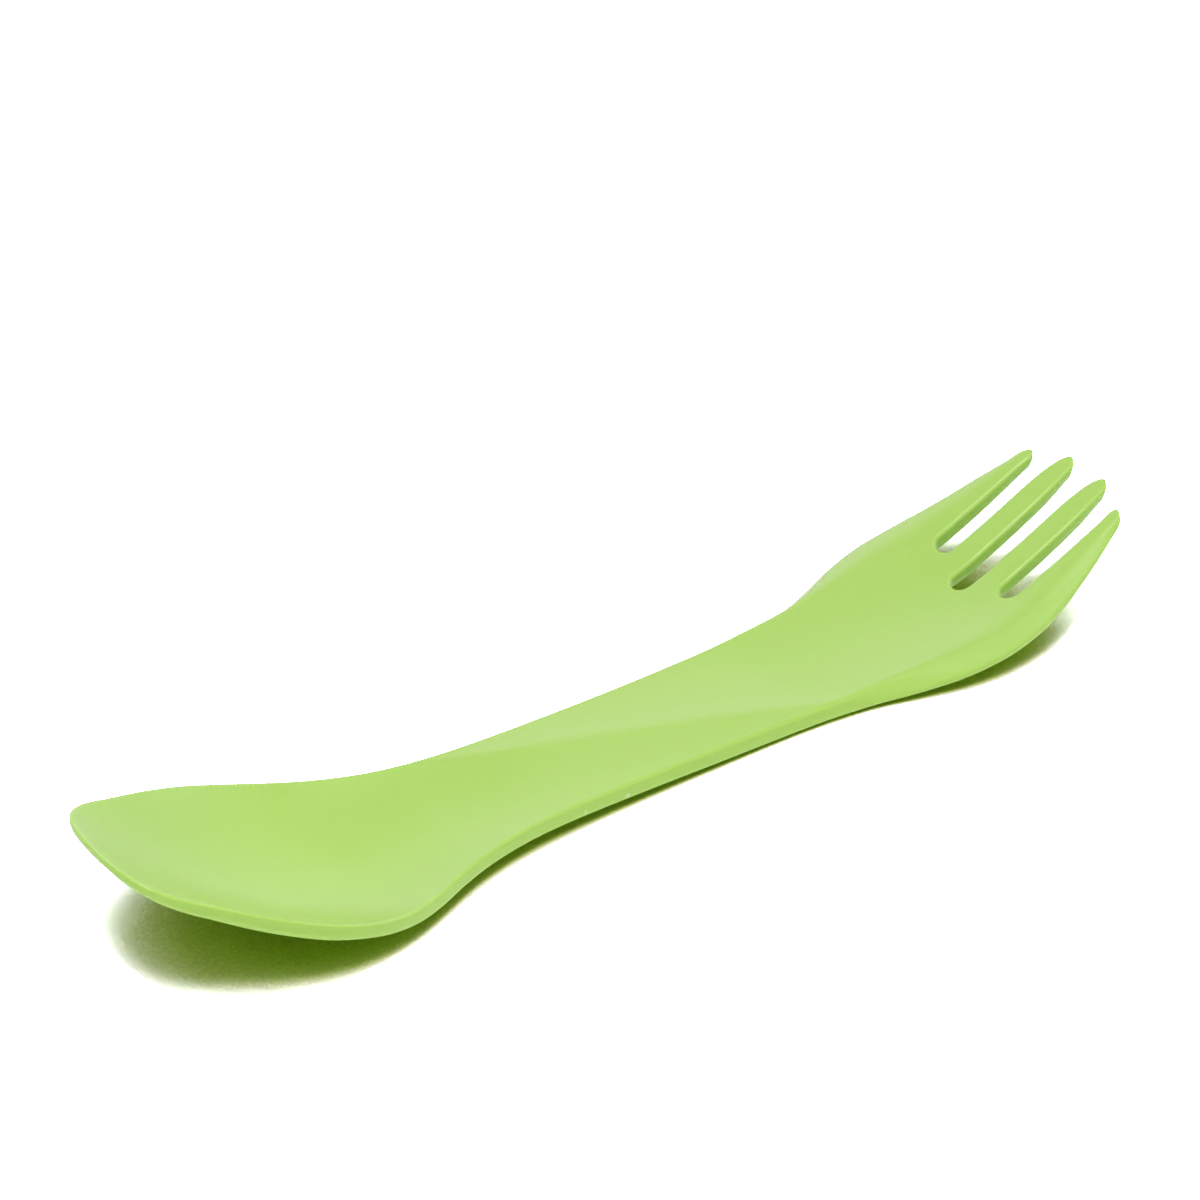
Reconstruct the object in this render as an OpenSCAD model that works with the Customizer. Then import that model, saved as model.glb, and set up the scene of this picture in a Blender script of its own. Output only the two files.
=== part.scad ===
// Double-ended spork: a spoon bowl and a four-tined fork joined by a flat creased handle.
// It lies on a table at z = 0, bowl side up, with the tines at +X and its middle at x = 0.
// The shapes below are set out from the bowl's lip, and each node is then moved to the middle.
// One moulding on the real object. Each module here is one region of it, cut square to X,
// and neighbouring regions meet face to face because all of them read the same surfaces.

/* [Length] */
// Bowl, from its lip to the start of the handle
bowl_length = 54; // [44:1:70]
// Handle, from the bowl to the fork palm
handle_length = 64; // [50:1:90]
// Fork palm, from the handle to the start of the tines
palm_length = 31.6; // [24:0.2:40]
// Inner tines, from the palm to their tips
tine_length = 20.4; // [14:0.2:30]
// How far the outer tines stop short of the inner ones
outer_tine_short = 2.6; // [1:0.1:4]

/* [Width] */
// Bowl at its widest
bowl_width = 37.6; // [32:0.2:46]
// Handle at its narrowest
handle_width = 20; // [16:0.2:24]
// Fork at its widest, over the outer tines
fork_width = 34.2; // [31:0.2:40]
// One inner tine
tine_width = 3.8; // [3:0.1:4]
// Gap between two tines
slot_width = 3.6; // [3:0.1:4]
// How much deeper the middle slot is cut than the outer two
middle_slot_extra = 3.1; // [1:0.1:5]
// Turned-down margin on each side of the fork, from its crest to its edge
margin_width = 4; // [3:0.1:5]

/* [Height] */
// Lip of the bowl above the table
lip_height = 23.1; // [18:0.1:28]
// Rim of the handle above the table, at the bowl
handle_height_bowl = 4.6; // [4:0.1:6]
// Rim of the handle above the table, at the fork
handle_height_fork = 3.2; // [2.8:0.1:4]
// Tips of the inner tines above the table
tine_tip_height = 15.9; // [12:0.1:20]
// Dish of the bowl below its rim
bowl_depth = 6.2; // [5:0.1:6.6]
// Dish of the handle below its rim, without the crease
handle_dish = 1.1; // [0.6:0.1:1.4]
// Dish of the palm below its crests
palm_dish = 1.85; // [1:0.05:2]
// Crease along the handle above the straight line between its rims
crease_height = 0.7; // [0.3:0.1:1.2]

/* [Wall] */
// Plastic at the middle of the bowl and of the palm
wall = 2; // [1.6:0.1:2.4]
// Side face of the bowl's rim at its widest
rim_face = 2.4; // [2:0.1:3]
// Side face of the handle
handle_face = 2.6; // [2.2:0.1:2.8]
// Edge of the fork's margin
margin_edge = 1; // [0.7:0.1:1.3]
// Tine at its tip
tine_tip_wall = 1.5; // [1.2:0.1:1.8]
// Rounding of the upper edges
edge_round = 0.5; // [0.3:0.1:0.7]

/* [Hidden] */
plastic = "#9bcb3c";

bowl_half = bowl_width / 2;
handle_half = handle_width / 2;
fork_half = fork_width / 2;
slot_half = slot_width / 2;
handle_x = bowl_length;
palm_x = handle_x + handle_length;
root_x = palm_x + palm_length;
tip_x = root_x + tine_length;
outer_tip_x = tip_x - outer_tine_short;
inner_tine_y = slot_half + tine_width / 2;
outer_slot_y = tine_width + slot_width;
outer_tine_y = outer_slot_y + slot_half;
mid_slot_x = root_x - middle_slot_extra;
split_x = mid_slot_x - slot_width;

// The lip's first station, and the middle of the whole length
lip_start_share = 0.0006;
lip_x = lip_start_share * bowl_length;
middle_x = (lip_x + tip_x) / 2;

// The table's plane trims the underside, which leaves two flats to rest on.
trim_depth = 2 * wall;
cut_overrun = wall;

// Stations along X and points across, for every loft
bowl_steps = 44;
handle_steps = 32;
palm_steps = 16;
tine_steps = 12;
slot_end_steps = 6;
across_steps = 20;
under_steps = 14;
tine_across_steps = 6;
// Share of its half width at which a row of points may follow the crease
crease_reach_share = 0.94;

// Smooth curve through the rows [place, value] of a table
function row_at(table, x, i = 0) = i < len(table) - 2 && x > table[i + 1][0] ? row_at(table, x, i + 1) : i;
function slope_at(table, i) =
    let (a = max(i - 1, 0), b = min(i + 1, len(table) - 1))
    (table[b][1] - table[a][1]) / (table[b][0] - table[a][0]);
function curve_at(table, x) =
    let (i = row_at(table, x), span = table[i + 1][0] - table[i][0],
         t = min(max((x - table[i][0]) / span, 0), 1),
         m0 = slope_at(table, i) * span, m1 = slope_at(table, i + 1) * span)
    (2 * pow(t, 3) - 3 * pow(t, 2) + 1) * table[i][1] + (pow(t, 3) - 2 * pow(t, 2) + t) * m0
    + (3 * pow(t, 2) - 2 * pow(t, 3)) * table[i + 1][1] + (pow(t, 3) - pow(t, 2)) * m1;

// Rows of [share of a length, share of a rise] placed at a start, a length, a base and a rise
function placed(shares, start, length, base, rise) =
    [for (row = shares) [start + row[0] * length, base + row[1] * rise]];

// Plan outline: half width of the outer edge. The lip closes it with a rounding of its own.
bowl_outline_shares = [[0, 0.3], [0.074, 0.31], [0.148, 0.4], [0.24, 0.61], [0.333, 0.81], [0.444, 0.965],
                       [0.537, 1], [0.63, 0.96], [0.722, 0.83], [0.815, 0.625], [0.907, 0.4], [1, 0.227]];
waist_outline_shares = [[0.094, 0.097], [0.1875, 0.034], [0.3125, 0.006], [0.5, 0]];
flare_outline_shares = [[0.66, 0], [0.8125, 0.005], [0.906, 0.045], [1, 0.18]];
palm_outline_shares = [[0.127, 0.32], [0.253, 0.52], [0.38, 0.69], [0.506, 0.855], [0.633, 0.957],
                       [0.76, 1], [0.95, 0.935]];
tine_outline_shares = [[0.135, 0.82], [0.36, 0.67], [0.585, 0.51], [0.81, 0.31], [1, 0.08]];
nose_share = 0.167;
nose_power = 2.5;
outer_tine_span = outer_tip_x - root_x;
outline = concat(
    placed(bowl_outline_shares, 0, bowl_length, handle_half, bowl_half - handle_half),
    placed(waist_outline_shares, handle_x, handle_length, handle_half, bowl_half - handle_half),
    placed(flare_outline_shares, handle_x, handle_length, handle_half, fork_half - handle_half),
    placed(palm_outline_shares, palm_x, palm_length, handle_half, fork_half - handle_half),
    placed(tine_outline_shares, root_x, outer_tine_span, handle_half, fork_half - handle_half));
nose_length = nose_share * bowl_length;
function nose_at(x) = pow(1 - pow(1 - min(x / nose_length, 1), nose_power), 1 / nose_power);
function edge_y(x) = curve_at(outline, x) * nose_at(x);

// Turned-down margin: its width from the crest out to the edge
margin_handle_shares = [[0, 0.02], [0.7, 0.02], [0.906, 0.06], [1, 0.175]];
margin_palm_shares = [[0.127, 0.35], [0.253, 0.525], [0.38, 0.71], [0.506, 0.9], [0.633, 0.99], [0.76, 1], [0.95, 0.94]];
margin_tine_shares = [[0.135, 0.79], [0.42, 0.575], [0.7, 0.35], [0.92, 0.12], [1, 0.06]];
margin_rows = concat(
    placed([[0, 0.02], [0.9, 0.02]], 0, bowl_length, 0, margin_width),
    placed(margin_handle_shares, handle_x, handle_length, 0, margin_width),
    placed(margin_palm_shares, palm_x, palm_length, 0, margin_width),
    placed(margin_tine_shares, root_x, outer_tine_span, 0, margin_width));
function crest_y(x) = edge_y(x) - curve_at(margin_rows, x) * nose_at(x);

// Height of the rim, and of the fork's crests
bowl_rim_shares = [[0, 1], [0.074, 0.876], [0.148, 0.762], [0.24, 0.625], [0.333, 0.489], [0.444, 0.335],
                   [0.537, 0.216], [0.63, 0.1135], [0.722, 0.042], [0.815, 0.007], [0.907, 0], [1, 0]];
handle_rim_shares = [[0.18, 0.08], [0.47, 0.57], [0.66, 0.86], [0.85, 1], [1, 0.9]];
palm_crest_shares = [[0.127, 0.03], [0.253, 0.055], [0.38, 0.087], [0.506, 0.127], [0.7, 0.2], [0.85, 0.262], [1, 0.345]];
tine_crest_shares = [[0.175, 0.445], [0.37, 0.57], [0.61, 0.74], [0.81, 0.883], [0.95, 0.97], [1, 1]];
bowl_rise = lip_height - handle_height_bowl;
fork_rise = tine_tip_height - handle_height_fork;
rim_rows = concat(
    placed(bowl_rim_shares, 0, bowl_length, handle_height_bowl, bowl_rise),
    placed(handle_rim_shares, handle_x, handle_length, handle_height_bowl, handle_height_fork - handle_height_bowl),
    placed(palm_crest_shares, palm_x, palm_length, handle_height_fork, fork_rise),
    placed(tine_crest_shares, root_x, tine_length, handle_height_fork, fork_rise));
function rim_z(x) = curve_at(rim_rows, x);

// Dish below the rim at the middle of the width
bowl_dish_shares = [[0, 0], [0.074, 0.32], [0.148, 0.6], [0.24, 0.85], [0.333, 0.97], [0.426, 1],
                    [0.556, 0.865], [0.667, 0.685], [0.778, 0.485], [0.889, 0.36], [1, 0.28]];
handle_dish_shares = [[0.125, 1.2], [0.25, 1.09], [0.47, 1], [0.72, 0.92], [1, 0.9]];
palm_dish_shares = [[0.253, 0.7], [0.506, 0.89], [0.7, 1], [0.85, 0.89], [1, 0.6]];
tine_dish_shares = [[0.175, 0.38], [0.37, 0.24], [0.61, 0.11], [0.85, 0.02], [1, 0]];
dish_rows = concat(
    placed(bowl_dish_shares, 0, bowl_length, 0, bowl_depth),
    placed(handle_dish_shares, handle_x, handle_length, 0, handle_dish),
    placed(palm_dish_shares, palm_x, palm_length, 0, palm_dish),
    placed(tine_dish_shares, root_x, tine_length, 0, palm_dish));
function dish_at(x) = curve_at(dish_rows, x);

// The crease runs straight from the left rim beside the bowl to the right rim beside the fork.
crease_start_share = 0.03;
crease_end_share = 0.97;
crease_x0 = handle_x + crease_start_share * handle_length;
crease_x1 = handle_x + crease_end_share * handle_length;
crease_shares = [[0, 0], [0.17, 0.6], [0.34, 1], [0.66, 1], [0.83, 0.6], [1, 0]];
crease_rows = placed(crease_shares, crease_x0, crease_x1 - crease_x0, 0, crease_height);
function crease_across(x) = 1 - 2 * (x - crease_x0) / (crease_x1 - crease_x0);
function crease_rise(x) = x < crease_x0 || x > crease_x1 ? 0 : curve_at(crease_rows, x);

// Upper surface. Each side of the crease is a shallow trough of its own.
function trough(u, span, x) = crease_rise(x) * u - dish_at(x) * span * span * 4 * u * (1 - u);
function top_z(x, y) =
    let (c = crest_y(x), k = min(max(crease_across(x), -1), 1), t = min(max(y / c, -1), 1))
    rim_z(x) + (k > -1 && t <= k ? trough((t + 1) / (k + 1), (k + 1) / 2, x)
                                 : trough((1 - t) / (1 - k), (1 - k) / 2, x));

// Outer edge: height of its upper line and its thickness
bowl_face_shares = [[0, 0.6], [0.15, 0.9], [0.4, 1.1], [0.6, 1.04], [0.8, 1.1], [1, 1.08]];
handle_face_shares = [[0.1, 1], [0.3, 1.02], [0.6, 1.08], [0.85, 1.13], [0.95, 1.2], [1, 1.24]];
face_rows = concat(
    placed(bowl_face_shares, 0, bowl_length, 0, rim_face),
    placed(handle_face_shares, handle_x, handle_length, 0, handle_face));
palm_drop_shares = [[0.127, 1.29], [0.253, 1.2], [0.38, 1.16], [0.506, 1.08], [0.7, 0.97], [0.85, 0.9], [1, 0.78]];
tine_drop_shares = [[0.2, 0.7], [0.5, 0.52], [0.8, 0.32], [1, 0.2]];
margin_drop = margin_width * 0.44;
drop_rows = concat(
    placed([[0, 1.24]], palm_x, palm_length, 0, handle_face),
    placed(palm_drop_shares, palm_x, palm_length, margin_edge, margin_drop),
    placed(tine_drop_shares, root_x, outer_tine_span, margin_edge, margin_drop));
function face_at(x) = x < palm_x ? curve_at(face_rows, x) : curve_at(drop_rows, x);
edge_thickness_rows = concat(
    placed([[0, 0.5], [1, 0.5]], 0, palm_x, 0, margin_edge),
    placed([[0.2, 0.75], [0.45, 1], [1, 1]], palm_x, palm_length, 0, margin_edge),
    placed([[0.6, 0.95], [1, 0.7]], root_x, outer_tine_span, 0, margin_edge));
function edge_thickness(x) = curve_at(edge_thickness_rows, x);
function low_z(x) = rim_z(x) - face_at(x);

// Underside at the middle of the width, as plastic below the upper surface
handle_wall_shares = [[0.12, 1], [0.4, 1.06], [0.7, 1.12], [0.85, 1.2], [1, 1.21]];
palm_wall_shares = [[0.15, 1.14], [0.35, 1.04], [0.6, 1], [1, 1]];
wall_rows = concat(
    placed([[0, 0.6], [0.15, 0.9], [0.4, 1], [0.9, 1]], 0, bowl_length, 0, wall),
    placed(handle_wall_shares, handle_x, handle_length, 0, wall),
    placed(palm_wall_shares, palm_x, palm_length, 0, wall),
    placed([[0.3, 1.1], [0.7, 1]], root_x, tine_length, 0, wall),
    placed([[1, 1]], root_x, tine_length, 0, tine_tip_wall));
function wall_at(x) = curve_at(wall_rows, x);
function middle_z(x) = rim_z(x) - dish_at(x);
function under_z(x, y) =
    let (b = middle_z(x) - wall_at(x), t = min(abs(y) / edge_y(x), 1))
    b + (low_z(x) - b) * t * t;

// Outline of one cut across the spork at x, as [y, z] points, from the crease side round
function upper_row(x) =
    let (c = crest_y(x) - edge_round * nose_at(x),
         k = c * min(max(crease_across(x), -crease_reach_share), crease_reach_share),
         right = [for (i = [0 : across_steps]) -c + (k + c) * i / across_steps],
         left = [for (i = [1 : across_steps]) k + (c - k) * i / across_steps])
    [for (y = concat(right, left)) [y, top_z(x, y)]];
function side_row(x, side, r) =
    let (c = crest_y(x), e = edge_y(x), z = top_z(x, c - r),
         low = low_z(x), thick = edge_thickness(x), bulge = (e - c) / 12)
    [for (p = [[c - r + r * sin(45), z - r + r * cos(45)],
               [c + bulge, z - r],
               [(c + e) / 2 + bulge, (z - r + low + thick) / 2 + bulge],
               [e, low + thick],
               [e - thick / 8, low + thick / 2],
               [e - thick / 2, low]]) [side * p[0], p[1]]];
function under_row(x) =
    let (e = edge_y(x) - edge_thickness(x) / 2)
    [for (i = [1 : under_steps - 1]) let (y = e * (1 - 2 * i / under_steps)) [y, under_z(x, y)]];
function reversed(list) = [for (i = [len(list) - 1 : -1 : 0]) list[i]];
function section(x) =
    let (r = edge_round * nose_at(x))
    concat(upper_row(x), side_row(x, 1, r), under_row(x), reversed(side_row(x, -1, r)));

module centred() {
    translate([-middle_x, 0, 0]) children();
}

// Closed skin over cuts that all have the same number of points
module loft(stations, rings) {
    n = len(rings[0]);
    m = len(rings);
    polyhedron(
        points = [for (i = [0 : m - 1]) for (p = rings[i]) [stations[i], p[0], p[1]]],
        faces = concat(
            [[for (j = [0 : n - 1]) j]],
            [for (i = [0 : m - 2]) for (j = [0 : n - 1])
                [i * n + j, (i + 1) * n + j, (i + 1) * n + (j + 1) % n]],
            [for (i = [0 : m - 2]) for (j = [0 : n - 1])
                [i * n + j, (i + 1) * n + (j + 1) % n, i * n + (j + 1) % n]],
            [[for (j = [n - 1 : -1 : 0]) (m - 1) * n + j]]),
        convexity = 8);
}

// Flat sides of the rest: everything below the table's plane goes.
module table_trim() {
    translate([-cut_overrun, -bowl_width, -trim_depth])
        cube([tip_x + 2 * cut_overrun, 2 * bowl_width, trim_depth]);
}

// Stations gather at the lip, where the outline turns fastest.
function lip_station(i) = lip_x + (bowl_length - lip_x) * pow(i / bowl_steps, 1.7);

module spoon_bowl() color(plastic) centred() {
    xs = [for (i = [0 : bowl_steps]) lip_station(i)];
    difference() {
        loft(xs, [for (x = xs) section(x)]);
        table_trim();
    }
}

module handle() color(plastic) centred() {
    xs = [for (i = [0 : handle_steps]) handle_x + handle_length * i / handle_steps];
    difference() {
        loft(xs, [for (x = xs) section(x)]);
        table_trim();
    }
}

module fork_palm() color(plastic) centred() {
    xs = [for (i = [0 : palm_steps]) palm_x + (split_x - palm_x) * i / palm_steps];
    difference() {
        loft(xs, [for (x = xs) section(x)]);
        table_trim();
    }
}

// Half width of a round-ended slot at x, where centre is the middle of its round end
function slot_side(x, centre) =
    x >= centre ? slot_half : sqrt(max(pow(slot_half, 2) - pow(centre - x, 2), 0));

// Rounding and draft of a tine's side start with the slot beside it.
tine_draft_share = 0.04;
round_start_share = 0.05;
function slot_growth(x, centre) = max(slot_side(x, centre) / slot_half, round_start_share);

// The tines start at the split, side by side, and the slots open between them.
function slot_end(centre) = [for (i = [0 : slot_end_steps]) centre - slot_half * cos(90 * i / slot_end_steps)];
function tine_stations(end) =
    concat([split_x], slot_end(mid_slot_x), slot_end(root_x),
           [for (i = [1 : tine_steps]) root_x + (end - root_x) * (1 - pow(1 - i / tine_steps, 1.5))]);

function top_points(x, a, b) =
    [for (i = [0 : tine_across_steps]) let (y = a + (b - a) * i / tine_across_steps) [y, top_z(x, y)]];
function under_points(x, a, b) =
    [for (i = [0 : tine_across_steps]) let (y = a + (b - a) * i / tine_across_steps) [y, under_z(x, y)]];
// Side of a tine, from its top down, with the tine's inside towards way
function wall_points(x, y, r, draft, way) =
    [[y + way * r * (1 - sin(45)), top_z(x, y) - r * (1 - cos(45))],
     [y, top_z(x, y) - r],
     [y + way * draft, under_z(x, y) + r / 2]];

// Inner tine: parallel sides that close to a rounded tip
inner_tine_shares = [[0, 1], [0.5, 1], [0.66, 0.97], [0.76, 0.9], [0.86, 0.76], [0.93, 0.57], [0.975, 0.38], [1, 0.14]];
function inner_tine_ring(x) =
    let (narrow = curve_at(placed(inner_tine_shares, root_x, tine_length, 0, 1), x),
         a = inner_tine_y - (inner_tine_y - slot_side(x, mid_slot_x)) * narrow,
         b = inner_tine_y + (outer_slot_y - slot_side(x, root_x) - inner_tine_y) * narrow,
         ga = slot_growth(x, mid_slot_x), gb = slot_growth(x, root_x), round_here = min(edge_round, (b - a) / 4),
         ra = round_here * ga, rb = round_here * gb,
         da = tine_draft_share * (b - a) * ga, db = tine_draft_share * (b - a) * gb)
    concat(top_points(x, a + ra, b - rb), wall_points(x, b, rb, db, -1),
           under_points(x, b - db - rb / 2, a + da + ra / 2), reversed(wall_points(x, a, ra, da, 1)));

// Outer tine: straight inside edge, curved outside edge with the turned-down margin
outer_inside_shares = [[0, 0], [0.8, 0.01], [0.9, 0.06], [0.96, 0.13], [1, 0.22]];
function outer_inside_y(x) =
    x < root_x ? outer_slot_y + slot_side(x, root_x)
               : curve_at(placed(outer_inside_shares, root_x, outer_tine_span, outer_tine_y, tine_width / 3 * 2), x);
function outer_tine_ring(x) =
    let (a = outer_inside_y(x), e = edge_y(x), c = crest_y(x), low_end = e - edge_thickness(x) / 2,
         ga = slot_growth(x, root_x), r = min(edge_round, (e - a) / 4), ra = r * ga,
         da = tine_draft_share * tine_width * ga)
    concat(top_points(x, a + ra, c - r), side_row(x, 1, r),
           under_points(x, low_end - (low_end - a) / 20, a + da + ra / 2), reversed(wall_points(x, a, ra, da, 1)));

function mirrored(ring) = [for (p = reversed(ring)) [-p[0], p[1]]];
module inner_tine(side) {
    xs = tine_stations(tip_x);
    loft(xs, [for (x = xs) side > 0 ? inner_tine_ring(x) : mirrored(inner_tine_ring(x))]);
}
module outer_tine(side) {
    xs = tine_stations(outer_tip_x);
    loft(xs, [for (x = xs) side > 0 ? outer_tine_ring(x) : mirrored(outer_tine_ring(x))]);
}
module inner_tine_left() color(plastic) centred() inner_tine(1);
module inner_tine_right() color(plastic) centred() inner_tine(-1);
module outer_tine_left() color(plastic) centred() outer_tine(1);
module outer_tine_right() color(plastic) centred() outer_tine(-1);

spoon_bowl();
handle();
fork_palm();
outer_tine_left();
inner_tine_left();
inner_tine_right();
outer_tine_right();
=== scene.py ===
"""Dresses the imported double-ended spork: one lime green moulding on a white studio floor.

The moulding is modelled flat, as a sheet of cells with the three slots cut out of it, thickened by
extruding, and then bent to the spork's shape. Lengths are millimetres from the bowl's lip until the
last step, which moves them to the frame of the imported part, in metres.
"""

from __future__ import annotations

import logging
import math
from bisect import bisect_right
from dataclasses import dataclass, field
from enum import Enum
from functools import cached_property

import bmesh
import bpy
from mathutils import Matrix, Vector

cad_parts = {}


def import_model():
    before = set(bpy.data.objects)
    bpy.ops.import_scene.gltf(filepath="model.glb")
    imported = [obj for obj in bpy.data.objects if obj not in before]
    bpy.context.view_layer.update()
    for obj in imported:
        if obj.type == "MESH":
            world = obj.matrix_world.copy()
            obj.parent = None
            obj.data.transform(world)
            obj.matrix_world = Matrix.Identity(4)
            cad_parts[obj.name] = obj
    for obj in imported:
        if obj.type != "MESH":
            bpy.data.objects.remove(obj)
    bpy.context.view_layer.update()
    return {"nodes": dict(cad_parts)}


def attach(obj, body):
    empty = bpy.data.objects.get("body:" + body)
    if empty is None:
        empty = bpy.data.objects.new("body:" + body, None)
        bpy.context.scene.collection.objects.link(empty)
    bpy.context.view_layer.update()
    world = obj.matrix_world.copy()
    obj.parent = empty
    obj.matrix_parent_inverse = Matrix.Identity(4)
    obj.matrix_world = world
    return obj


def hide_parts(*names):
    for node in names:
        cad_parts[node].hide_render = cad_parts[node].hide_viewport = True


log = logging.getLogger("spork")

MM = 0.001

# A Mix node's colour sockets, whose names its other sockets share.
MIX_FIRST, MIX_SECOND, MIX_RESULT = 6, 7, 2

Pair = tuple[float, float]
Triple = tuple[float, float, float]
Rows = tuple[Pair, ...]
Stops = tuple[tuple[float, Triple], ...]


def spread(first: float, end: float, count: int) -> list[float]:
    """Even places from the first up to, but without, the end."""
    return [first + (end - first) * i / count for i in range(count)]


def smooth(t: float) -> float:
    """Eased step from 0 to 1."""
    t = min(max(t, 0.0), 1.0)
    return t * t * (3 - 2 * t)


def linear(hex_colour: str) -> tuple[float, float, float, float]:
    """Turns an sRGB hex value into the linear colour that a shader takes.

    Args:
        hex_colour: six hex digits, with or without a hash.

    Returns:
        Red, green, blue and alpha.
    """
    digits = hex_colour.lstrip("#")
    parts = [int(digits[i : i + 2], 16) / 255 for i in (0, 2, 4)]
    red, green, blue = (c / 12.92 if c <= 0.04045 else ((c + 0.055) / 1.055) ** 2.4 for c in parts)
    return red, green, blue, 1.0


class Level(Enum):
    """Which skin of the moulding a point lies on."""

    TOP = "top"
    UNDER = "under"


class Curve:
    """Smooth curve through rows of place and value."""

    def __init__(self, rows: Rows) -> None:
        """Keeps the rows in order of place.

        Args:
            rows: the places and values, in order.
        """
        self.places = [row[0] for row in rows]
        self.values = [row[1] for row in rows]
        last = len(rows) - 1
        self.slopes = []
        for i in range(len(rows)):
            a, b = max(i - 1, 0), min(i + 1, last)
            rise, run = self.values[b] - self.values[a], self.places[b] - self.places[a]
            self.slopes.append(rise / run)

    def at(self, x: float) -> float:
        """Value at x, held level beyond both ends.

        Args:
            x: the place.

        Returns:
            The value.
        """
        i = min(max(bisect_right(self.places, x) - 1, 0), len(self.places) - 2)
        span = self.places[i + 1] - self.places[i]
        t = min(max((x - self.places[i]) / span, 0.0), 1.0)
        return (
            (2 * t**3 - 3 * t**2 + 1) * self.values[i]
            + (t**3 - 2 * t**2 + t) * self.slopes[i] * span
            + (3 * t**2 - 2 * t**3) * self.values[i + 1]
            + (t**3 - t**2) * self.slopes[i + 1] * span
        )


def placed(shares: Rows, start: float, length: float, base: float, rise: float) -> Rows:
    """Rows of shares turned into places and values."""
    return tuple((start + share * length, base + value * rise) for share, value in shares)


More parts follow.
